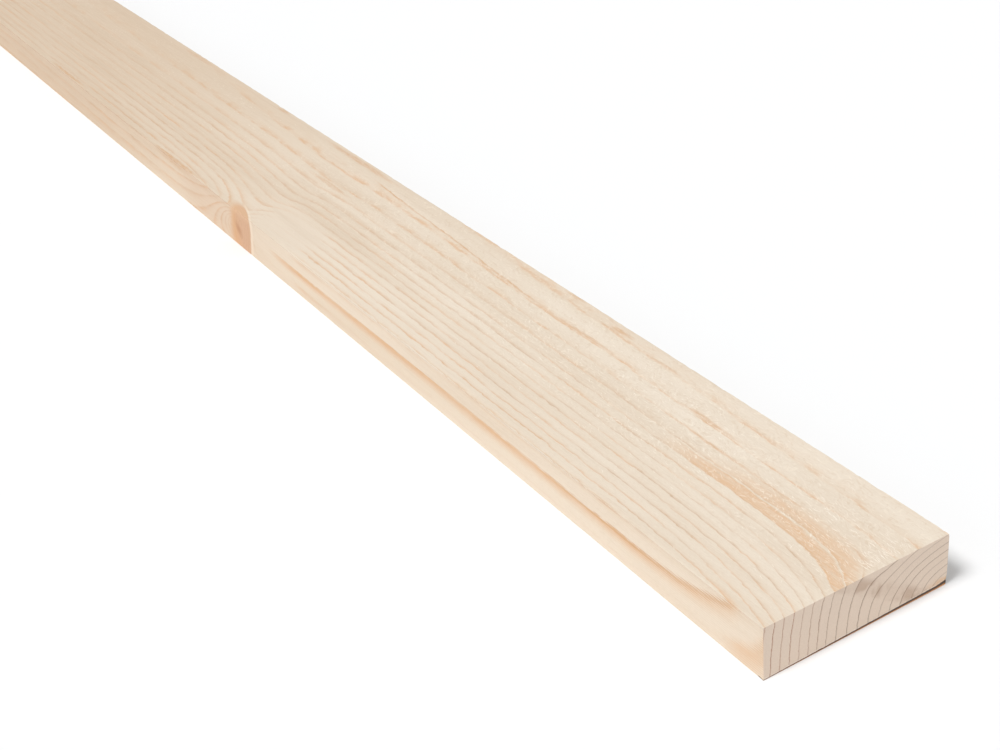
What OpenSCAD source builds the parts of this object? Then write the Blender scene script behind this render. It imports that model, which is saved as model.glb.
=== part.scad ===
// One sawn softwood board of a standard section, lying flat on its wide face.
// X runs along the length, Y across the width and Z through the thickness.
// The origin is the middle of the bottom face.

/* [Board] */
// Length of the board, in the steps it is sold in
board_length = 1800; // [1800:300:6000]
// Width of the two wide faces
board_width = 100; // [75:5:225]
// Thickness, from the bottom face to the top face
board_thickness = 27; // [16:1:50]

/* [Arrises] */
// Width of the small slope that handling wears on each long arris
arris_ease = 0.5; // [0.2:0.1:3]

/* [Hidden] */
half_width = board_width / 2;
wood_colour = [0.90, 0.82, 0.70];

// The board's cross-section, from corner to corner, with its four arrises eased
module section() {
    polygon([
        [half_width - arris_ease, 0],
        [half_width, arris_ease],
        [half_width, board_thickness - arris_ease],
        [half_width - arris_ease, board_thickness],
        [arris_ease - half_width, board_thickness],
        [-half_width, board_thickness - arris_ease],
        [-half_width, arris_ease],
        [arris_ease - half_width, 0]
    ]);
}

// The whole board: its section run along X and cut square at both ends
module plank() {
    color(wood_colour)
        translate([-board_length / 2, 0, 0])
            rotate([90, 0, 90])
                linear_extrude(height = board_length)
                    section();
}

plank();
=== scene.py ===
"""A sawn softwood board lying flat on a pale floor.

The board is one piece of wood: a grid mesh with the relief of its sawn faces, worn arrises, torn lower
end arris and lifted fibres, and one solid-wood material whose growth rings run through all six faces.
Lengths in the mesh code are metres; inside the material they are millimetres.
"""

import math
import random

import bmesh
import bpy
from mathutils import Matrix, Vector, noise


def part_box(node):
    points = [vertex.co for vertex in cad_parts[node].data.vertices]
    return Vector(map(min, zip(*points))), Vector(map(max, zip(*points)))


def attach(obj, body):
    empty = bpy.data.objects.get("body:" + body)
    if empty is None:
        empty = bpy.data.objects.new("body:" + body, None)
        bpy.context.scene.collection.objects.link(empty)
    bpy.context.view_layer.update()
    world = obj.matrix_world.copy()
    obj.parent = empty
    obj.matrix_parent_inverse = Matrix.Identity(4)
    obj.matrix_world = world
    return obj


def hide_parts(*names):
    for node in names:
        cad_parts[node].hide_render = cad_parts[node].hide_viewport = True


MM = 0.001

# The board's own frame: its near end is the sawn end at +X, its knot edge is the one at -Y
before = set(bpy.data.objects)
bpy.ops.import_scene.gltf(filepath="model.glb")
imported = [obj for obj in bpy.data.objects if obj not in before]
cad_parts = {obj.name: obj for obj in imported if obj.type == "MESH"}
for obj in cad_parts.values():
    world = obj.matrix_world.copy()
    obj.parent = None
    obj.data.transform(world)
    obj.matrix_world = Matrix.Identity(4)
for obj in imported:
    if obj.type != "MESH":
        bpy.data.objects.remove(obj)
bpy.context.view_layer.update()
LOW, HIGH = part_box("plank")
LENGTH = HIGH.x - LOW.x
WIDTH = HIGH.y - LOW.y
THICK = HIGH.z - LOW.z
HALF_WIDTH_MM = round(WIDTH / MM / 2)

# The edge knot, from the near end back along the board, and up from the bottom face
KNOT_BACK = 516 * MM
KNOT_HEIGHT = 13.5 * MM
KNOT_RADIUS = 16.5 * MM
KNOT_X = HIGH.x - KNOT_BACK
# How far the knot's axis moves towards the near end for each step up
KNOT_LEAN = 0.22

# The growth rings, in mm: their width, where the innermost one starts, how far out they began to narrow,
# and how many more rings each mm holds out there
RING_WIDTH = 5.8
RING_START = 9.9
NARROW_START = 66
NARROWING = 0.038
# The pith at the near end, in mm: how far across the board and how high, and how fast each drifts
PITH_ACROSS = 60
PITH_HEIGHT = -31.2
PITH_DRIFT_ACROSS = 0.010
PITH_DRIFT_UP = 0.013
# The round rings up the board are drawn out and set back, in mm, to meet those at the near end
ROUND_STRETCH = 1.104
ROUND_SETBACK = 25.4
# The whorl at the near end, in mm: where its middle lies across the board and how high, how far its rings
# are set back, and how square they are, where 2 would be round
WHORL_ACROSS = 53
WHORL_HEIGHT = -6.3
WHORL_SETBACK = 3.0
SQUARENESS = 2.7
# How far the knot pushes the rings out, and how fast that dies away from it, in mm
KNOT_SWELL = 16
SWELL_REACH = 10

# Pitch streaks in the top face, in mm: middle from the near end, middle across, half length, half width,
# and strength
PITCH_STREAKS = (
    (-622, -48.5, 36, 1.4, 0.65),
    (-856, -47.5, 34, 1.3, 0.60),
    (-813, 47.0, 26, 1.8, 0.35),
    (-655, 47.5, 9, 1.2, 0.50),
    (-528, 46.5, 42, 2.0, 0.55),
    (-512, 14.0, 24, 1.8, 0.45),
    (-277, 48.8, 9, 1.0, 0.50),
    (-228, 45.2, 9, 1.1, 0.55),
    (-240, 28.5, 20, 0.9, 0.50),
    (-188, 41.5, 14, 0.8, 0.40),
    (-132, 26.8, 16, 1.0, 0.50),
    (-112, 15.2, 20, 0.9, 0.40),
    (-62, 14.5, 9, 1.0, 0.35),
)

# The pitch thread that runs slantwise towards the clear arris, in mm: where it would cross the middle of
# the board at the near end, its slope, how far back it starts and ends, and how softly it does
THREAD_ACROSS = 14.85
THREAD_SLOPE = -0.05
THREAD_START = -290
THREAD_END = -490
THREAD_FADE = 15

# The broken lower arris of the near end, in mm: its height at the knot edge and at the clear edge
BREAK_LOW = 0.45
BREAK_HIGH = 2.4
BREAK_RAG = 0.5
# How far back along the board the break reaches
BREAK_BACK = 3 * MM

# The mesh: the easing of its long arrises, the step across its faces, and the steps along it at the sawn
# end, near that end, round the knot and elsewhere
ARRIS_EASE = 0.5 * MM
GRID_STEP = 2 * MM
END_STEP = 0.5 * MM
NEAR_STEP = 1.6 * MM
KNOT_STEP = 1.5 * MM
PLAIN_STEP = 4.5 * MM
# A point this close to a face's plane lies on that face
TOUCH = 0.1 * MM

# The bake map: how much of the board its near rows hold, and the heights of its rows (ends, far, near) and
# the gap between them as shares of the map
NEAR_ROW_LENGTH = 700 * MM
ROW_HEIGHTS = (0.10, 0.165, 0.285)
ROW_GAP = 0.006

# How many slivers the saw lifted: over the top face, close to the near end, and along its lower arris
SCATTERED_FIBRES = 900
END_FIBRES = 110
SPLINTERS = 70

# The camera: its lens in mm, how far it stands past the near end, aside and up in metres, and how far it
# turns, dips and rolls in degrees
LENS = 57.69
CAMERA_PLACE = (0.3806, -0.3635, 0.4394)
CAMERA_TURN = 61.30
CAMERA_DIP = 30.53
CAMERA_ROLL = -5.83


# ---------------------------------------------------------------- how a material is put together


class Recipe:
    """A material's node tree, with one short call for each kind of node."""

    def __init__(self, name):
        self.material = bpy.data.materials.new(name)
        self.material.use_nodes = True
        self.tree = self.material.node_tree
        self.tree.nodes.clear()

    def node(self, kind, **settings):
        made = self.tree.nodes.new(kind)
        for key, value in settings.items():
            setattr(made, key, value)
        return made

    def feed(self, socket, value):
        """Links a socket to another node's output, or sets it to a plain value."""
        if isinstance(value, bpy.types.NodeSocket):
            self.tree.links.new(value, socket)
        else:
            socket.default_value = value

    def math(self, operation, *values):
        made = self.node("ShaderNodeMath", operation=operation)
        for socket, value in zip(made.inputs, values):
            self.feed(socket, value)
        return made.outputs[0]

    def add(self, a, b):
        return self.math("ADD", a, b)

    def sub(self, a, b):
        return self.math("SUBTRACT", a, b)

    def mul(self, a, b):
        return self.math("MULTIPLY", a, b)

    def fade(self, level, where, share):
        """The level, less this share of it where `where` is 1."""
        return self.mul(level, self.sub(1.0, self.mul(where, share)))

    def vector(self, operation, *values):
        made = self.node("ShaderNodeVectorMath", operation=operation)
        for socket, value in zip(made.inputs, values):
            self.feed(socket, value)
        return made.outputs["Value" if operation == "LENGTH" else "Vector"]

    def split(self, vector):
        made = self.node("ShaderNodeSeparateXYZ")
        self.feed(made.inputs[0], vector)
        return made.outputs

    def join(self, x, y, z):
        made = self.node("ShaderNodeCombineXYZ")
        for socket, value in zip(made.inputs, (x, y, z)):
            self.feed(socket, value)
        return made.outputs[0]

    def ramp(self, value, low, high, start=0.0, end=1.0, smooth=True):
        """start below low, end above high, and a smooth or straight change between them."""
        made = self.node("ShaderNodeMapRange", clamp=True)
        made.interpolation_type = "SMOOTHSTEP" if smooth else "LINEAR"
        for socket, number in zip(made.inputs, (value, low, high, start, end)):
            self.feed(socket, number)
        return made.outputs[0]

    def band(self, value, start, full, last, end):
        """A stripe that rises from start to full and falls from last to end."""
        return self.mul(self.ramp(value, start, full), self.ramp(value, last, end, 1.0, 0.0))

    def patch(self, x, y, middle_x, middle_y, half_x, half_y, edge=0.35):
        """An oval patch, 1 inside and 0 outside."""
        across = self.mul(self.sub(x, middle_x), 1 / half_x)
        up = self.mul(self.sub(y, middle_y), 1 / half_y)
        out = self.vector("LENGTH", self.join(across, up, 0.0))
        return self.ramp(out, 1 - edge, 1 + edge, 1.0, 0.0)

    def steps(self, value, *stops):
        """A ramp through several (position, level) stops."""
        made = self.node("ShaderNodeValToRGB")
        ladder = made.color_ramp
        ladder.interpolation = "LINEAR"
        while len(ladder.elements) < len(stops):
            ladder.elements.new(0.5)
        for element, (position, level) in zip(ladder.elements, stops):
            element.position = position
            element.color = (level, level, level, 1)
        self.feed(made.inputs[0], value)
        return made.outputs[0]

    def noise(self, vector, scale=1.0, detail=2.0, rough=0.5, output=0):
        made = self.node("ShaderNodeTexNoise")
        self.feed(made.inputs["Vector"], vector)
        made.inputs["Scale"].default_value = scale
        made.inputs["Detail"].default_value = detail
        made.inputs["Roughness"].default_value = rough
        return made.outputs[output]

    def stretched(self, vector, along, across, detail=2.0, rough=0.5, offset=0.0, output=0):
        """Noise whose grains are `along` mm long and `across` mm wide."""
        scaled = self.vector("MULTIPLY", vector, (1 / along, 1 / across, 1 / across))
        moved = self.vector("ADD", scaled, (offset, offset, offset))
        return self.noise(moved, 1.0, detail, rough, output)

    def swing(self, noise_colour, reach):
        """A noise's colour as offsets either side of zero; reach scales them on each axis."""
        centred = self.vector("SUBTRACT", noise_colour, (0.5, 0.5, 0.5))
        return self.vector("MULTIPLY", centred, reach)

    def mix(self, factor, a, b, blend="MIX"):
        made = self.node("ShaderNodeMix", data_type="RGBA", blend_type=blend)
        self.feed(made.inputs[0], factor)
        self.feed(made.inputs[6], a)
        self.feed(made.inputs[7], b)
        return made.outputs[2]

    def blend(self, factor, a, b):
        """A number that goes from a to b as factor goes from 0 to 1."""
        made = self.node("ShaderNodeMix", data_type="FLOAT")
        self.feed(made.inputs[0], factor)
        self.feed(made.inputs[2], a)
        self.feed(made.inputs[3], b)
        return made.outputs[0]

    def finish(self, colour, roughness, specular, normal=None):
        """Ends the recipe with a shader of this colour, roughness and gloss."""
        shader = self.node("ShaderNodeBsdfPrincipled")
        self.feed(shader.inputs["Base Color"], colour)
        self.feed(shader.inputs["Roughness"], roughness)
        shader.inputs["Specular IOR Level"].default_value = specular
        if normal:
            self.feed(shader.inputs["Normal"], normal)
        out = self.node("ShaderNodeOutputMaterial")
        self.feed(out.inputs["Surface"], shader.outputs[0])
        return self.material


def srgb(red, green, blue):
    """A colour as seen on a screen, 0 to 255, as the linear colour a shader takes."""
    linear = [((c / 255 + 0.055) / 1.055) ** 2.4 for c in (red, green, blue)]
    return (*linear, 1)


# Sound wood, from its palest parts to its darkest; the tan also serves as painted shade under the torn
# tufts
CREAM = srgb(219, 204, 185)
PALE = srgb(225, 212, 195)
PALE_GRIT = srgb(233, 222, 207)
BEIGE = srgb(206, 187, 165)
TUFT_SHADE_TAN = srgb(204, 180, 152)
LATEWOOD = srgb(178, 147, 117)
RESIN = srgb(212, 165, 118)
# Fibres that the saw tore, raised in tufts or lifted clear: paler than the wood, and lighter still as
# painted highlight where they catch the light
PALE_WOOL_HIGHLIGHT = srgb(238, 228, 214)
PALE_TUFT_HIGHLIGHT = srgb(234, 221, 203)
LIFTED_PALE_HIGHLIGHT = srgb(246, 239, 228)
# The sawn end; its grey and pale are darkened a little as painted shade of the end face
END_GREY_SHADED = srgb(209, 190, 173)
END_PALE_SHADED = srgb(213, 195, 178)
END_BLOTCH = srgb(182, 158, 139)
END_RING = srgb(132, 108, 92)
END_RED = srgb(146, 92, 68)
# Painted shade in the gap under the near end's broken lower arris, and a painted orange rim of light
# bounced off the wood at its foot
GAP_PAINTED_SHADE = srgb(84, 68, 58)
GAP_PAINTED_BOUNCE = srgb(196, 138, 88)
# The knot
KNOT_PINK = srgb(203, 164, 134)
KNOT_BROWN = srgb(158, 118, 88)
KNOT_HEART = srgb(176, 126, 92)
KNOT_TOP = srgb(220, 184, 148)
KNOT_RIM = srgb(232, 214, 192)
# Painted shade: tints that darken and warm the wood up the board, where the light falls off, on its edges,
# and on its edges far up the board
UP_BOARD_SHADE_TINT = (0.946, 0.908, 0.871, 1)
EDGE_SHADE_TINT = (0.970, 0.946, 0.923, 1)
FAR_EDGE_SHADE_TINT = (0.965, 0.955, 0.95, 1)


# ---------------------------------------------------------------- the grain of the wood


def ring_distance(r, x, y, z):
    """How far out from the pith a point grew, in mm, before the knot bent the rings."""
    back = r.sub(x, HIGH.x / MM)
    # Far from the end the rings are round; the pith runs below the board and drifts along it
    pith_y = r.add(r.mul(back, PITH_DRIFT_ACROSS), PITH_ACROSS)
    pith_z = r.add(r.mul(back, PITH_DRIFT_UP), PITH_HEIGHT)
    across = r.sub(pith_y, y)
    up = r.sub(z, pith_z)
    from_pith = r.vector("LENGTH", r.join(0.0, across, up))
    round_rings = r.sub(r.mul(from_pith, ROUND_STRETCH), ROUND_SETBACK)
    # At the near end a whorl of branches just past the cut squares the rings and pushes them outward
    side = r.math("MAXIMUM", r.sub(WHORL_ACROSS, y), 0.5)
    tilt = r.mul(r.math("MAXIMUM", r.sub(y, 15), 0), 0.15)
    rise = r.math("MAXIMUM", r.add(r.sub(z, tilt), -WHORL_HEIGHT), 0.5)
    squash = r.ramp(side, 29, 63, 1.50, 1.04)
    squared_side = r.math("POWER", side, SQUARENESS)
    squared = r.add(squared_side, r.math("POWER", r.mul(rise, squash), SQUARENESS))
    whorl_rings = r.sub(r.math("POWER", squared, 1 / SQUARENESS), WHORL_SETBACK)
    # The whorl's pull dies away up the board, sooner towards the clear edge
    reach = r.add(r.mul(r.math("MAXIMUM", r.mul(y, -1), 0), 0.5), 15)
    near = r.math("EXPONENT", r.math("DIVIDE", back, reach))
    return r.blend(near, round_rings, whorl_rings)


def knot_offsets(r, x, y, z, rise, inward):
    """Offsets from the knot's axis, in mm: along the board, and square to it. The axis leans towards
    the near end at the top, and away from it further in; rise and inward say how the offset grows up
    the edge and into the board."""
    height = r.sub(z, KNOT_HEIGHT / MM)
    depth = r.add(y, HALF_WIDTH_MM)
    along = r.sub(r.sub(x, KNOT_X / MM), r.mul(height, KNOT_LEAN))
    along = r.add(along, r.mul(depth, 1.5 * inward - 0.5))
    aside = r.add(r.mul(height, rise), r.mul(depth, inward))
    return along, aside


def bent_rings(r, rings, x, y, z):
    """The rings swell outward round the knot, far along it up the board and little towards the near end."""
    along, aside = knot_offsets(r, x, y, z, 0.92, 0.39)
    stretch = r.ramp(along, -6, 10, 0.42, 1.1)
    near = r.vector("LENGTH", r.join(r.mul(along, stretch), aside, 0.0))
    outside = r.sub(r.math("MAXIMUM", near, 7), 13.5)
    swell = r.mul(r.math("EXPONENT", r.mul(outside, -1 / SWELL_REACH)), KNOT_SWELL)
    return r.sub(rings, swell)


def season_levels(r, rings, soft, peak):
    """How far a point's cells had thickened in its year, as a thin dark line and as a broad soft shade:
    0 in the year's first growth and 1 near its last."""
    year = r.math("DIVIDE", r.sub(rings, RING_START), RING_WIDTH)
    # Growth slowed once the trunk had some girth
    year = r.add(year, r.mul(r.math("MAXIMUM", r.sub(rings, NARROW_START), 0), NARROWING))
    season = r.math("FRACT", year)
    fine = r.steps(season, (0, 0.30), (0.03, 0.0), (soft, 0.0), (peak, 0.40), (0.965, 1.0), (1, 0.65))
    broad = r.steps(season, (0, 0.30), (0.09, 0.0), (0.45, 0.0), (0.72, 0.30), (0.92, 0.9), (1, 0.6))
    luck = r.node("ShaderNodeTexWhiteNoise", noise_dimensions="1D")
    r.feed(luck.inputs["W"], r.math("FLOOR", year))
    strength = r.ramp(luck.outputs["Value"], 0, 1, 0.55, 1.0, smooth=False)
    return r.mul(fine, strength), r.mul(broad, strength)


class Grain:
    """A point of the wood as the material sees it: its place in mm, its face, its fibres and its ring.

    `back` is the place along the board, 0 at the near end and falling away from it; `y` and `z` are the
    frame's own. `wandered` and `frayed` are the place after the fibres have led it astray.
    """

    def __init__(self, r):
        coords = r.node("ShaderNodeTexCoord")
        self.mm = r.vector("MULTIPLY", coords.outputs["Object"], (1000, 1000, 1000))
        x, self.y, self.z = r.split(self.mm)
        self.back = r.sub(x, HIGH.x / MM)
        facing_end, facing_edge, _ = r.split(coords.outputs["Normal"])
        self.on_edge = r.math("GREATER_THAN", r.math("ABSOLUTE", facing_edge), 0.7)
        self.on_end = r.ramp(r.math("ABSOLUTE", facing_end), 0.55, 0.85)
        self.score = r.math("PINGPONG", self.z, 0.6)
        self.let_fibres_wander(r)
        self.grow_rings(r)
        self.fade_rings(r)
        self.fibres = r.stretched(self.wandered, 30, 0.6, 3.0, 0.6, offset=2)
        self.grit = r.stretched(self.mm, 2.4, 0.75, 3.0, 0.7, offset=83)
        self.tear_wool(r)

    def let_fibres_wander(self, r):
        """The fibres wander a little, so every ring line does. The saw left the lines ragged on the two
        wide faces, and straighter on the edges and the ends."""
        sway = r.swing(r.stretched(self.mm, 260, 45, 1.0, output=1), (0, 2.2, 2.2))
        rippled = r.swing(r.stretched(self.mm, 30, 12, 2.0, output=1, offset=7), (0, 1.3, 0.5))
        jitter = r.swing(r.stretched(self.mm, 4.5, 1.3, 2.0, output=1, offset=9), (0, 1.5, 0.15))
        waver = r.swing(r.stretched(self.mm, 11, 3.5, 1.0, output=1, offset=13), (0, 1.6, 0.2))
        swayed = r.vector("ADD", self.mm, sway)
        self.wandered = r.vector("ADD", swayed, rippled)
        ragged = r.vector("ADD", r.vector("ADD", rippled, jitter), waver)
        raggedness = r.sub(1.0, r.add(r.mul(self.on_edge, 0.65), r.mul(self.on_end, 0.55)))
        ragged = r.vector("MULTIPLY", ragged, r.join(raggedness, raggedness, raggedness))
        self.frayed = r.vector("ADD", swayed, ragged)

    def grow_rings(self, r):
        """The rings at this point. Saw scores on the two edges catch those they cross, as fine teeth."""
        x, y, z = r.split(self.frayed)
        near_end = r.ramp(self.back, -95, -45, 0.45, 1.0)
        rings = ring_distance(r, x, y, z)
        rings = bent_rings(r, rings, x, y, z)
        self.rings = r.add(rings, r.mul(r.mul(self.score, r.mul(self.on_edge, near_end)), 1.7))
        self.frayed_y = y

    def fade_rings(self, r):
        """The ring lines come and go along the board, most towards the clear edge."""
        self.broken = r.ramp(self.frayed_y, -8, 22)
        self.dashes = r.ramp(r.stretched(self.wandered, 19, 5, 3.0, 0.6, offset=3), 0.44, 0.62)
        steady = r.ramp(r.stretched(self.wandered, 26, 5, 4.0, 0.65, offset=11), 0.34, 0.60, 0.30, 1.0)
        presence = r.blend(self.broken, steady, r.add(r.mul(self.dashes, 0.8), 0.20))
        # They hardly show in the clear wood on the knot's near side, and are faint far up the board
        presence = r.fade(presence, r.patch(self.back, self.y, -467, -43, 34, 26), 0.9)
        presence = r.fade(presence, r.band(self.back, -1250, -950, -900, -680), 0.5)
        # Nor do they show much low on the edges, or by the clear arris far up the board
        low_edge = r.mul(self.on_edge, r.mul(r.ramp(self.z, 9, 4), r.ramp(self.back, -430, -380)))
        presence = r.fade(presence, low_edge, 0.85)
        mid_edge = r.mul(self.on_edge, r.band(self.back, -430, -380, -150, -90))
        presence = r.fade(presence, mid_edge, 0.5)
        far_arris = r.mul(r.ramp(self.y, 36, 42), r.ramp(self.back, -560, -640))
        presence = r.fade(presence, far_arris, 0.8)
        line, shade = season_levels(r, self.rings, 0.80, 0.93)
        line = r.mul(line, presence)
        shade = r.mul(shade, presence)
        # Round the knot the rings show as broad soft streaks
        self.hooked = r.mul(r.patch(self.back, self.z, -560, 14, 46, 24, 0.5), self.on_edge)
        off_edge = r.sub(1.0, self.on_edge)
        over_knot = r.mul(r.patch(self.back, self.y, -545, -40, 60, 28, 0.5), off_edge)
        self.shade = r.fade(shade, over_knot, 0.1)
        softened = r.math("MAXIMUM", r.mul(self.hooked, 0.95), r.mul(over_knot, 0.6))
        self.line = r.mul(line, r.sub(1.0, softened))

    def tear_wool(self, r):
        """Woolly fibres where the saw tore the pale wood, slanting across the grain."""
        curl = r.swing(r.noise(self.mm, 0.09, 2.0, output=1), (14, 14, 14))
        turn = r.node("ShaderNodeVectorRotate", rotation_type="Z_AXIS")
        r.feed(turn.inputs["Vector"], r.vector("ADD", self.mm, curl))
        turn.inputs["Angle"].default_value = math.radians(10)
        self.wool = r.stretched(turn.outputs[0], 5.2, 1.1, 3.0, 0.55, offset=61)
        wool_patches = r.ramp(r.stretched(self.mm, 42, 12, 3.0, 0.6, offset=71), 0.44, 0.60)
        woolly = r.mul(r.band(self.y, -34, 2, 36, 48), wool_patches)
        woolly = r.mul(woolly, r.sub(1.0, r.patch(self.back, self.y, -25, 45, 80, 12)))
        nearer = r.ramp(self.back, -420, -160, 0.45, 1.0)
        self.woolly = r.mul(r.add(r.mul(woolly, 0.90), 0.10), nearer)
        self.tufts = r.stretched(turn.outputs[0], 11, 1.5, 3.0, 0.6, offset=67)
        self.tufted = r.mul(r.ramp(self.y, -30, 12), r.ramp(self.back, -640, -420))


# ---------------------------------------------------------------- the colours of the wood


def pale_wood(r, g):
    """Cream wood, with long pale and beige clouds, fine fibre streaks, a fine grit and saw scores."""
    body = r.mix(r.ramp(r.stretched(g.mm, 210, 26, 2.0, offset=5), 0.35, 0.65), CREAM, PALE)
    clouds = r.ramp(r.stretched(g.mm, 240, 11, 2.0, offset=17), 0.50, 0.72, 0.0, 0.55)
    body = r.mix(r.mul(clouds, r.ramp(g.back, -900, -150, 1.0, 0.4)), body, BEIGE)
    # Painted shade: beige darkens the wood up the board, where the light falls off
    body = r.mix(r.ramp(g.back, -1050, -250, 0.70, 0.0), body, BEIGE)
    body = r.mix(r.ramp(g.fibres, 0.35, 0.75, 0.0, 0.35), body, PALE)
    body = r.mix(r.ramp(g.fibres, 0.48, 0.22, 0.0, 0.30), body, BEIGE)
    gritty = r.ramp(g.back, -330, -130, 0.5, 1.0)
    body = r.mix(r.mul(r.ramp(g.grit, 0.52, 0.72, 0.0, 0.26), gritty), body, PALE_GRIT)
    body = r.mix(r.mul(r.ramp(g.grit, 0.48, 0.28, 0.0, 0.26), gritty), body, BEIGE)
    stripes = r.mul(r.mul(g.score, g.on_edge), r.ramp(g.back, -110, -20, 0.15, 0.45))
    return r.mix(stripes, body, BEIGE)


def latewood(r, g, body):
    """The dark side of each ring: grey-brown lines with resin-orange stretches, warm by the knot arris."""
    warmth = r.ramp(r.stretched(g.wandered, 40, 8, 2.0, offset=23), 0.42, 0.62, 0.2, 1.0)
    by_arris = r.mul(r.ramp(g.y, -34, -38), r.band(g.back, -470, -420, -110, -70))
    warmth = r.math("MAXIMUM", warmth, r.mul(by_arris, 0.75))
    late = r.mix(r.math("MAXIMUM", warmth, r.mul(g.broken, 0.85)), LATEWOOD, RESIN)
    washed = r.mul(g.shade, r.ramp(g.back, -400, -140, 0.66, 0.30))
    body = r.mix(washed, body, r.mix(0.5, late, RESIN))
    inked = r.add(r.ramp(g.back, -450, -150, 0.16, 0.64), r.mul(by_arris, 0.30))
    return r.mix(r.mul(g.line, inked), body, late)


def dense_bands(r, g, body):
    """Dense orange wood: two bands running out at the near end, one along the knot edge with a fine dark
    thread in it, and the corner under that."""
    grainy = r.ramp(r.stretched(g.wandered, 22, 1.0, 3.0, 0.65, offset=43), 0.30, 0.62, 0.55, 1.0)
    frays = r.mul(r.sub(r.stretched(g.mm, 14, 3, 2.0, offset=41), 0.5), 1.2)
    frayed_rings = r.add(g.rings, frays)
    end_band = r.mul(r.band(frayed_rings, 62.2, 63.2, 67.2, 67.9), r.ramp(g.back, -145, -95))
    end_blush = r.mul(r.band(frayed_rings, 55.0, 59.5, 61.6, 62.2), r.ramp(g.back, -115, -60))

    edge_band = r.mul(r.band(g.rings, 102.4, 105.4, 105.7, 106.0), r.band(g.back, -476, -446, -22, -12))
    uneven = r.ramp(r.stretched(g.mm, 90, 30, 1.0, offset=51), 0.35, 0.60, 0.65, 1.0)
    edge_band = r.mul(edge_band, uneven)
    edge_band = r.mul(edge_band, r.math("MAXIMUM", g.on_edge, r.ramp(g.back, -40, -20)))
    edge_band = r.mul(edge_band, r.ramp(g.back, -90, -45, 1.0, 0.70))
    thread = r.mul(r.band(g.rings, 104.8, 105.5, 105.8, 106.0), r.band(g.back, -180, -120, -24, -16))
    thread = r.mul(thread, g.on_edge)
    by_corner = r.mul(g.on_edge, r.ramp(g.back, -30, -12))
    corner_band = r.mul(r.band(g.rings, 99.2, 100.4, 101.0, 101.6), by_corner)

    dense = r.mul(r.add(r.mul(end_band, 0.62), r.mul(end_blush, 0.50)), grainy)
    dense = r.add(dense, r.add(r.mul(edge_band, 0.62), r.mul(corner_band, 0.35)))
    body = r.mix(dense, body, RESIN)
    return r.mix(r.mul(thread, 0.40), body, r.mix(0.5, RESIN, LATEWOOD))


def pitch_streaks(r, g, body):
    """Pitch in the top face: streaks along both long arrises and in between, and one slanting thread."""
    pitch = 0.0
    for middle_x, middle_y, half_x, half_y, strength in PITCH_STREAKS:
        streak = r.patch(g.back, g.frayed_y, middle_x, middle_y, half_x, half_y, 0.5)
        pitch = r.add(pitch, r.mul(streak, strength))
    flecks = r.ramp(r.stretched(g.wandered, 7, 0.9, 2.0, 0.6, offset=91), 0.36, 0.60, 0.45, 1.05)
    pitch = r.mul(pitch, flecks)
    astray = r.sub(g.frayed_y, r.add(r.mul(g.back, THREAD_SLOPE), THREAD_ACROSS))
    thread = r.mul(r.band(astray, -1.3, -0.3, 0.1, 0.5), r.add(r.mul(g.dashes, 0.4), 0.6))
    far = (THREAD_END - THREAD_FADE, THREAD_END + THREAD_FADE)
    near = (THREAD_START - THREAD_FADE, THREAD_START + THREAD_FADE)
    thread = r.mul(thread, r.band(g.back, *far, *near))
    pitch = r.math("MAXIMUM", pitch, r.mul(thread, 0.75))
    return r.mix(r.mul(pitch, r.ramp(g.z, 20, 25)), body, r.mix(0.25, RESIN, LATEWOOD))


def knot_blush(r, g, body):
    """The knot edge is pinker where the rings hook round the knot."""
    return r.mix(r.mul(g.hooked, 0.20), body, KNOT_PINK)


def torn_wool(r, g, body):
    """The torn fibres are paler than the wood and lighter still as painted highlight, with painted shade in
    the hollows between them and under the tufts.
    """
    # The pale wool and tufts: their own paler colour, and painted highlight
    body = r.mix(r.mul(r.ramp(g.wool, 0.56, 0.68), r.mul(g.woolly, 0.58)), body, PALE_WOOL_HIGHLIGHT)
    body = r.mix(r.mul(r.ramp(g.tufts, 0.56, 0.68), r.mul(g.tufted, 0.42)), body, PALE_TUFT_HIGHLIGHT)
    # Painted shade under the tufts and in the hollows between the wool fibres
    body = r.mix(r.mul(r.ramp(g.tufts, 0.44, 0.34), r.mul(g.tufted, 0.28)), body, TUFT_SHADE_TAN)
    return r.mix(r.mul(r.ramp(g.wool, 0.45, 0.34), r.mul(g.woolly, 0.34)), body, BEIGE)


def painted_shade_tints(r, g, body):
    """Painted shade: the wood is darker and warmer up the board, where the light falls off away from the
    near end, and on its edges, more so far up the board.
    """
    body = r.mix(r.ramp(g.back, -900, -200, 1.0, 0.0), body, UP_BOARD_SHADE_TINT, "MULTIPLY")
    body = r.mix(g.on_edge, body, EDGE_SHADE_TINT, "MULTIPLY")
    far_edge = r.mul(g.on_edge, r.ramp(g.back, -640, -860))
    return r.mix(far_edge, body, FAR_EDGE_SHADE_TINT, "MULTIPLY")


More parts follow.
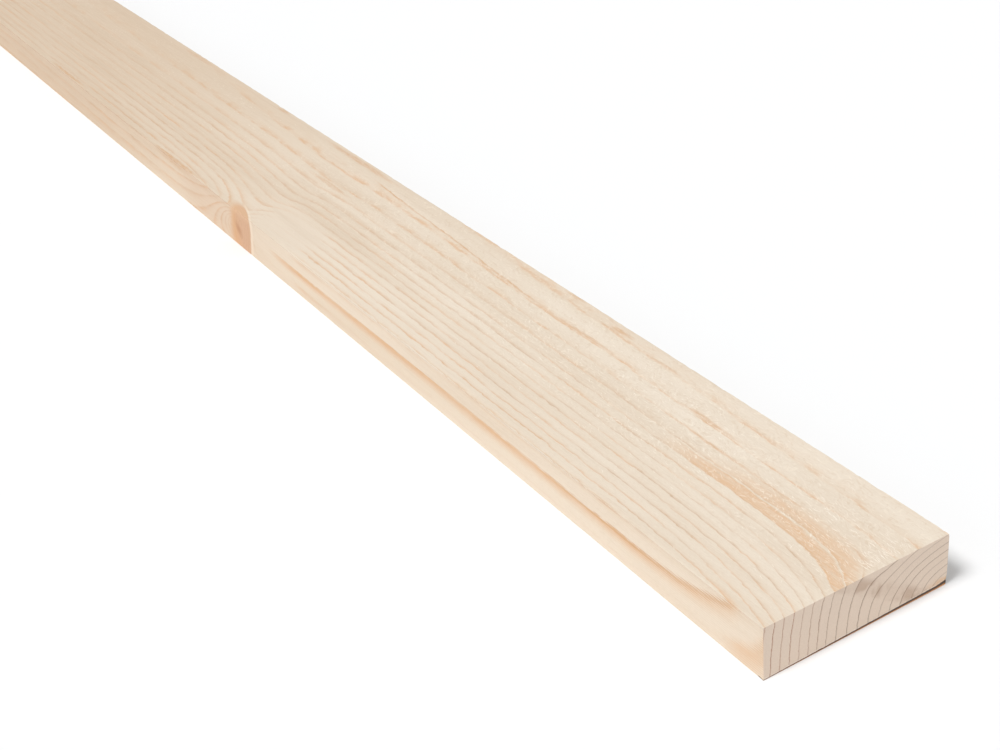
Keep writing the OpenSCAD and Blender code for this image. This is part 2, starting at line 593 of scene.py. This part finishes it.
def edge_knot(r, g, body):
    """The knot: soft rings round a brown checked heart, with a pale rim towards the near end."""
    along, aside = knot_offsets(r, *r.split(g.wandered), 0.45, 1.55)
    off_axis = r.vector("LENGTH", r.join(along, aside, 0.0))
    radius = KNOT_RADIUS / MM
    edge = r.ramp(along, -10, 10, 9.0, 2.0)
    inside = r.ramp(r.sub(off_axis, radius), r.mul(edge, 0.4), r.mul(edge, -0.9))
    circles = r.math("FRACT", r.mul(r.add(off_axis, r.mul(r.noise(g.mm, 0.15), 5)), 0.33))
    circles = r.steps(circles, (0, 0), (0.6, 0.15), (0.92, 1), (1, 0))
    knot = r.mix(r.mul(circles, 0.16), KNOT_PINK, KNOT_BROWN)
    knot = r.mix(r.ramp(r.add(along, r.mul(aside, 0.4)), 4, -13, 0.0, 0.55), knot, RESIN)
    knot = r.mix(r.ramp(g.z, 22, 27, 0.0, 0.45), knot, KNOT_TOP)
    lean = r.add(along, r.add(r.mul(aside, 1.2), 2.4))
    heart = r.vector("LENGTH", r.join(lean, r.mul(aside, 1.9), 0.0))
    knot = r.mix(r.ramp(heart, 6.5, 0.3, 0.0, 0.62), knot, KNOT_HEART)
    body = r.mix(inside, body, knot)
    rim = r.mul(r.band(off_axis, radius - 0.6, radius, radius + 2, radius + 4), r.ramp(along, 2, 8))
    return r.mix(r.mul(rim, 0.5), body, KNOT_RIM)


def break_height(r, g):
    """How high the near end's broken lower arris reaches, in mm, across the board."""
    ragged = r.mul(r.sub(r.noise(g.mm, 0.45, 3.0), 0.5), BREAK_RAG)
    rise = r.ramp(g.y, -HALF_WIDTH_MM, HALF_WIDTH_MM, BREAK_LOW, BREAK_HIGH, smooth=False)
    return r.add(rise, ragged)


def end_grain(r, g, body):
    """The sawn ends: greyer, because the open cells swallow light, and darker still as painted shade of the
    end face, with thin dark ring lines, a slanting stain, pale specks of painted highlight towards the
    clear edge, an orange torn corner, and a pale lip over the broken arris."""
    end_line, _ = season_levels(r, g.rings, 0.84, 0.94)
    pores = r.noise(g.mm, 1.3, 4.0, 0.65)
    # The end grain's own grey, darkened a little as painted shade of the end face
    end = r.mix(r.ramp(pores, 0.3, 0.7), END_GREY_SHADED, END_PALE_SHADED)
    slant = r.add(g.y, r.mul(g.z, 1.6))
    cloudy = r.ramp(r.noise(g.mm, 0.12, 2.0), 0.42, 0.60, 0.25, 1.0)
    blotch = r.mul(r.band(slant, 27, 35, 39, 48), cloudy)
    end = r.mix(r.mul(blotch, 0.85), end, END_BLOTCH)
    # Painted highlight: pale specks towards the clear edge
    pale_glints = r.mul(r.ramp(r.noise(g.mm, 2.2, 3.0, 0.6), 0.58, 0.72), r.ramp(g.y, 0, 45))
    end = r.mix(r.mul(pale_glints, 0.6), end, PALE)
    low = r.ramp(r.add(g.z, r.mul(r.noise(g.mm, 0.4), 5)), 9, 5)
    torn_corner = r.mul(r.ramp(g.y, 36, 46), low)
    end = r.mix(r.mul(torn_corner, 0.6), end, RESIN)
    ring_ink = r.mix(r.ramp(g.y, -10, -35), END_RING, END_RED)
    end = r.mix(r.mul(end_line, 0.95), end, ring_ink)
    above = r.sub(g.z, break_height(r, g))
    patchy = r.ramp(r.noise(g.mm, 0.7), 0.45, 0.6, 0.2, 0.8)
    end = r.mix(r.mul(r.band(above, -0.1, 0.1, 0.35, 0.8), patchy), end, PALE)
    return r.mix(g.on_end, body, end)


def shade_under_break(r, g, body):
    """The lower arris broke out as the saw came through. Its underside is painted dark as the shade of the
    gap over the floor, with a painted orange rim of light bounced off the wood where it meets the floor.
    """
    lift = break_height(r, g)
    under = r.mul(r.ramp(r.sub(g.z, lift), 0.05, -0.15), r.ramp(g.back, -4.0, -2.5))
    # Painted shade of the gap, with a painted rim of bounced light at its foot
    torn = r.mix(r.ramp(r.math("DIVIDE", g.z, lift), 0.20, 0.42), GAP_PAINTED_BOUNCE, GAP_PAINTED_SHADE)
    return r.mix(under, body, torn)


def sawn_surface(r, g):
    """The normal of dry sawn wood, with fibres, fine scores, torn wool and grit."""
    height = r.add(r.mul(g.fibres, 0.09), r.mul(r.mul(g.score, g.on_edge), 0.06))
    height = r.add(height, r.mul(r.mul(g.wool, g.woolly), 0.12))
    height = r.add(height, r.mul(r.mul(g.tufts, g.tufted), 0.14))
    height = r.add(height, r.mul(g.line, 0.03))
    height = r.add(height, r.mul(g.grit, 0.08))
    bump = r.node("ShaderNodeBump")
    bump.inputs["Strength"].default_value = 0.7
    bump.inputs["Distance"].default_value = MM
    r.feed(bump.inputs["Height"], height)
    return bump.outputs[0]


def wood(name, lifted=0.0):
    """Softwood, all through the board; lifted says how far it has the pale colour of lifted fibres, partly
    their own and partly painted highlight where they catch the light.
    """
    r = Recipe(name)
    g = Grain(r)
    body = pale_wood(r, g)
    for step in (latewood, dense_bands, pitch_streaks, knot_blush, torn_wool, painted_shade_tints, edge_knot,
                 end_grain, shade_under_break):
        body = step(r, g, body)
    if lifted:
        # Lifted fibres paler: partly their own colour, partly painted highlight
        body = r.mix(lifted, body, LIFTED_PALE_HIGHLIGHT)
    roughness = r.ramp(g.fibres, 0.2, 0.8, 0.78, 0.66)
    return r.finish(body, roughness, 0.25, sawn_surface(r, g))


# ---------------------------------------------------------------- the board's mesh


def cut_across(bm, axis, low, high, step):
    """Cuts the whole mesh square to an axis, one step apart, to give it a grid."""
    normal = Vector((0, 0, 0))
    normal[axis] = 1
    count = round((high - low) / step)
    for i in range(1, count):
        place = low + (high - low) * i / count
        geom = bm.verts[:] + bm.edges[:] + bm.faces[:]
        bmesh.ops.bisect_plane(bm, geom=geom, plane_co=normal * place, plane_no=normal, dist=1e-7)


def stations():
    """Places along the board for the mesh's cross-sections: close together where there is more to show."""
    places = [HIGH.x]
    while places[-1] > LOW.x:
        back = HIGH.x - places[-1]
        if back < 4 * MM:
            step = END_STEP
        elif back < 150 * MM:
            step = NEAR_STEP
        elif abs(back - KNOT_BACK) < 40 * MM:
            step = KNOT_STEP
        else:
            step = PLAIN_STEP
        places.append(max(LOW.x, places[-1] - step))
    return places[::-1]


def ripple(x, y, z, along, across):
    """Smooth noise, -1 to 1, whose waves are `along` and `across` metres long."""
    return noise.noise(Vector((x / along, y / across, z / across)))


def sawn_skin(place, x, y, z):
    """The sawn faces wave a little, and the fibres lift."""
    skin = 0.13 + 0.07 * ripple(x, y, z, 90 * MM, 22 * MM) + 0.05 * ripple(x, y, z, 7 * MM, 2.5 * MM)
    if z > HIGH.z - TOUCH:
        place.z -= skin * MM
    if z < LOW.z + TOUCH:
        place.z += 0.4 * skin * MM
    if abs(y) > HIGH.y - TOUCH:
        place.y -= math.copysign(skin * MM, y)


def arris_knocks(place, x, y, z):
    """Knocks along the four long arrises, deeper on the upper two."""
    above_middle = z - THICK / 2
    if abs(y) > HIGH.y - 1.2 * MM and abs(above_middle) > THICK / 2 - 1.2 * MM:
        knock = max(0.0, ripple(x, y, z, 7 * MM, 9 * MM) - 0.15)
        knock += max(0.0, ripple(x, z, y, 2.1 * MM, 9 * MM) - 0.2)
        depth = (0.35 if z > THICK / 2 else 0.12) * knock * MM
        place.y -= math.copysign(depth, y)
        place.z -= math.copysign(depth, above_middle)


def proud_knot(place, x, y, z):
    """The knot stands a little proud of the wood round it, which dried back."""
    if y < LOW.y + TOUCH:
        height = z - KNOT_HEIGHT
        from_knot = math.hypot(x - KNOT_X - KNOT_LEAN * height, 0.9 * height)
        place.y += 0.12 * MM * min(1.0, from_knot / KNOT_RADIUS)
        heart = math.hypot((x - KNOT_X) / (1.6 * MM), height / (6 * MM))
        place.y += 0.1 * MM * max(0.0, 1 - heart)


def sawn_ends(place, x, y, z):
    """Saw marks and a chipped lower corner on the near end, and its lower arris broken away as the saw
    came through, more towards the clear edge. The far end is plain."""
    back = HIGH.x - x
    share = (y - LOW.y) / WIDTH
    rise = BREAK_LOW + (BREAK_HIGH - BREAK_LOW) * share + 0.25 * ripple(0, y, 0, 1, 1.7 * MM)
    on_end = back < TOUCH
    lowest_row = LOW.z + 0.6 * MM
    if z < lowest_row and back < BREAK_BACK:
        depth = 0.22 * max(0.1, rise) * MM
        place.x = HIGH.x - depth - back * (1 - depth / BREAK_BACK)
    if on_end and lowest_row < z < LOW.z + 2.5 * MM:
        place.z = LOW.z + max(0.3, rise) * MM
    if on_end and z > lowest_row:
        saw = 0.10 + 0.06 * ripple(0, y + 0.4 * z, z, 1, 3 * MM)
        chipped = max(0.0, 1 - math.hypot((HIGH.y - y) / (6 * MM), z / (6 * MM)))
        place.x -= (saw + 1.0 * chipped) * MM
    if x < LOW.x + TOUCH:
        place.x += 0.12 * MM


def relief(co):
    """Where a point of the plain board lies on the real one. Every move is inward."""
    place = Vector(co)
    for move in (sawn_skin, arris_knocks, proud_knot, sawn_ends):
        move(place, *co)
    return place


def bake_layout(bm, places):
    """Unrolls the plain board into the bake map: the top with the clear edge, and the bottom with the knot
    edge, each as a near and a far row, over a row for the two ends."""
    layer = bm.loops.layers.uv.new("OFBake")
    split = min(places, key=lambda x: abs(x - (HIGH.x - NEAR_ROW_LENGTH)))
    ends_height, far_height, near_height = ROW_HEIGHTS
    margin = ROW_GAP / 2
    girth = WIDTH + THICK + 1 * MM
    bm.normal_update()
    for face in bm.faces:
        middle = face.calc_center_median()
        on_top = middle.z > HIGH.z - 0.6 * MM or middle.y > HIGH.y - TOUCH
        near = middle.x > split
        height = near_height if near else far_height
        row = ends_height + (0 if on_top else height) + (2 * far_height if near else 0)
        first, last = (split, HIGH.x) if near else (LOW.x, split)
        for loop in face.loops:
            x, y, z = loop.vert.co
            if abs(face.normal.x) > 0.7:
                along = 0.25 + 0.45 * y / WIDTH + (0.5 if near else 0)
                up = ends_height * (0.5 + 0.8 * (z / THICK - 0.5))
            else:
                around = y - LOW.y + math.copysign(HIGH.z - z, y)
                if not on_top:
                    around = HIGH.y - y + math.copysign(z - LOW.z, -y)
                along = margin + (1 - ROW_GAP) * (x - first) / (last - first)
                up = row + margin + (height - ROW_GAP) * (around + 0.5 * MM) / girth
            loop[layer].uv = (along, up)


def edges_along(bm):
    """The mesh's edges that run the whole length of the board."""
    return [e for e in bm.edges if abs(e.verts[0].co.x - e.verts[1].co.x) > LENGTH / 2]


def board_mesh():
    """A grid of the CAD solid's size with eased long arrises, whose points are then moved by relief."""
    size = HIGH - LOW
    middle = (HIGH + LOW) / 2
    bm = bmesh.new()
    bmesh.ops.create_cube(bm, size=1, matrix=Matrix.Translation(middle) @ Matrix.Diagonal((*size, 1)))
    bmesh.ops.bevel(
        bm, geom=edges_along(bm), offset=ARRIS_EASE, segments=2, profile=0.5, affect="EDGES", material=-1,
    )
    cut_across(bm, 1, LOW.y, HIGH.y, GRID_STEP)
    cut_across(bm, 2, LOW.z, HIGH.z, GRID_STEP)
    places = stations()
    cuts = len(places) - 2
    bmesh.ops.subdivide_edges(bm, edges=edges_along(bm), cuts=cuts, use_grid_fill=False)
    for vert in bm.verts:
        share = (vert.co.x - LOW.x) / LENGTH
        vert.co.x = places[round(share * (cuts + 1))]
    bake_layout(bm, places)
    for vert in bm.verts:
        vert.co = relief(vert.co)
    return bm


# ---------------------------------------------------------------- fibres and splinters


def fibre(bm, place, heading, length, width, rise):
    """One torn fibre: a sliver rooted in the surface, with its tip lifted."""
    turn = Matrix.Rotation(heading, 4, "Z") @ Matrix.Rotation(math.radians(90) - rise, 4, "Y")
    flat = Matrix.Diagonal((0.45, 1, 1, 1))
    grown = Matrix.Translation(Vector((0, 0, length * 0.4)))
    bmesh.ops.create_cone(
        bm, cap_ends=True, segments=4, radius1=width / 2, radius2=width / 8, depth=length,
        matrix=Matrix.Translation(place) @ turn @ grown @ flat,
    )


def root_on_top(x, y):
    """Where a fibre of the top face is rooted, just under the wood."""
    return relief(Vector((x, y, HIGH.z))) - Vector((0, 0, 0.04 * MM))


def kept_inside(bm):
    """Pulls any point that strays out of the board's own box back to it."""
    for vert in bm.verts:
        for axis in range(3):
            vert.co[axis] = min(max(vert.co[axis], LOW[axis]), HIGH[axis])
    return bm


def scatter_fibres(bm, rng):
    """Slivers over the top face, most of them near the end and where the wood is woolly."""
    made = 0
    while made < SCATTERED_FIBRES:
        near_end = rng.random() < 0.75
        back = 300 * MM * rng.random() ** 1.1 if near_end else 1000 * MM * rng.random()
        y = rng.gauss(16 * MM, 20 * MM)
        if abs(y) > 48 * MM or back < 2.5 * MM:
            continue
        x = HIGH.x - back
        if ripple(x, y, 0, 60 * MM, 16 * MM) < rng.uniform(-0.5, 0.3):
            continue
        heading = math.radians(rng.gauss(-14, 16)) + (math.pi if rng.random() < 0.4 else 0)
        length = rng.uniform(0.9, 3.2) * MM
        rise = math.asin(min(0.2, 0.10 * MM / length))
        fibre(bm, root_on_top(x, y), heading, length, rng.uniform(0.22, 0.45) * MM, rise)
        made += 1


def end_fibres(bm, rng):
    """Longer slivers where the saw left the near end."""
    for _ in range(END_FIBRES):
        back = 3 * MM + 60 * MM * rng.random() ** 2
        y = rng.gauss(17 * MM, 9 * MM)
        length = rng.uniform(1.5, 4.0) * MM
        rise = math.asin(min(0.2, 0.11 * MM / length))
        heading = math.radians(rng.gauss(-8, 12)) + (math.pi if back < 6 * MM else 0)
        fibre(bm, root_on_top(HIGH.x - back, y), heading, length, rng.uniform(0.3, 0.55) * MM, rise)


def torn_fibres():
    """All the slivers that the saw lifted from the top face."""
    rng = random.Random(11)
    bm = bmesh.new()
    scatter_fibres(bm, rng)
    end_fibres(bm, rng)
    return kept_inside(bm)


def end_splinters():
    """Stiff little splinters left along the near end's broken lower arris."""
    rng = random.Random(5)
    bm = bmesh.new()
    for _ in range(SPLINTERS):
        y = rng.uniform(LOW.y + 2 * MM, HIGH.y - 2 * MM)
        root = relief(Vector((HIGH.x, y, LOW.z + 2 * MM))) + Vector((-0.25 * MM, 0, 0.05 * MM))
        heading = rng.gauss(math.pi / 2, 0.25)
        length = rng.uniform(0.8, 2.6) * MM
        width = rng.uniform(0.2, 0.45) * MM
        fibre(bm, root, heading, length, width, rng.gauss(0, 0.1))
    return kept_inside(bm)


# ---------------------------------------------------------------- the board, put together


def finished(name, bm, material):
    """Makes a piece of the board from a mesh."""
    mesh = bpy.data.meshes.new(name)
    bm.to_mesh(mesh)
    bm.free()
    mesh.shade_smooth()
    mesh.set_sharp_from_angle(angle=math.radians(30))
    mesh.materials.append(material)
    piece = bpy.data.objects.new(name, mesh)
    bpy.context.scene.collection.objects.link(piece)
    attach(piece, "root")
    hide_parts("plank")


def board():
    """The sawn wood, the fibres lifted from its top, and the splinters along its broken arris."""
    finished("plank_wood", board_mesh(), wood("softwood"))
    lifted = wood("lifted fibres", lifted=0.45)
    finished("plank_fibres", torn_fibres(), lifted)
    finished("plank_splinters", end_splinters(), lifted)


# ---------------------------------------------------------------- floor, light and camera


def floor():
    """A plain pale floor, far wider than the board."""
    bm = bmesh.new()
    bmesh.ops.create_grid(bm, x_segments=1, y_segments=1, size=20)
    mesh = bpy.data.meshes.new("floor")
    bm.to_mesh(mesh)
    bm.free()
    mesh.materials.append(Recipe("pale floor").finish((0.85, 0.85, 0.85, 1), 0.9, 0.1))
    piece = bpy.data.objects.new("floor", mesh)
    bpy.context.scene.collection.objects.link(piece)


def soft_sun(name, towards, angle, level):
    """Soft distant light from a direction; level is the floor brightness it gives when overhead."""
    light = bpy.data.lights.new(name, "SUN")
    light.energy = level * math.pi
    light.angle = math.radians(angle)
    lamp = bpy.data.objects.new(name, light)
    lamp.rotation_euler = Vector(towards).to_track_quat("Z", "Y").to_euler()
    bpy.context.scene.collection.objects.link(lamp)


def studio():
    """A white room, a broad key light high on the knot edge's side, and two low fills: one from the near
    end, and a faint one along the floor that reaches the knot edge."""
    scene = bpy.context.scene
    scene.view_settings.view_transform = "Standard"
    scene.view_settings.look = "None"
    world = bpy.data.worlds.new("studio")
    world.use_nodes = True
    room = world.node_tree.nodes["Background"]
    room.inputs["Color"].default_value = (0.97, 0.985, 1, 1)
    room.inputs["Strength"].default_value = 0.40
    scene.world = world
    soft_sun("key", (0.02, -0.36, 0.62), 20, 0.735)
    soft_sun("fill", (0.24, -0.03, 0.12), 50, 0.295)
    soft_sun("edge fill", (0.10, -0.60, 0.12), 60, 0.13)


def camera():
    """A camera past the near end, on the knot edge's side, looking down along the board."""
    data = bpy.data.cameras.new("camera")
    data.lens = LENS
    data.sensor_width = 36
    data.clip_start = 0.02
    cam = bpy.data.objects.new("camera", data)
    past, aside, up = CAMERA_PLACE
    place = Matrix.Translation(Vector((HIGH.x + past, aside, up)))
    turn = Matrix.Rotation(math.radians(CAMERA_TURN), 4, "Z")
    dip = Matrix.Rotation(math.radians(90 - CAMERA_DIP), 4, "X")
    roll = Matrix.Rotation(math.radians(CAMERA_ROLL), 4, "Z")
    cam.matrix_world = place @ turn @ dip @ roll
    bpy.context.scene.collection.objects.link(cam)
    bpy.context.scene.camera = cam


camera()
board()
floor()
studio()
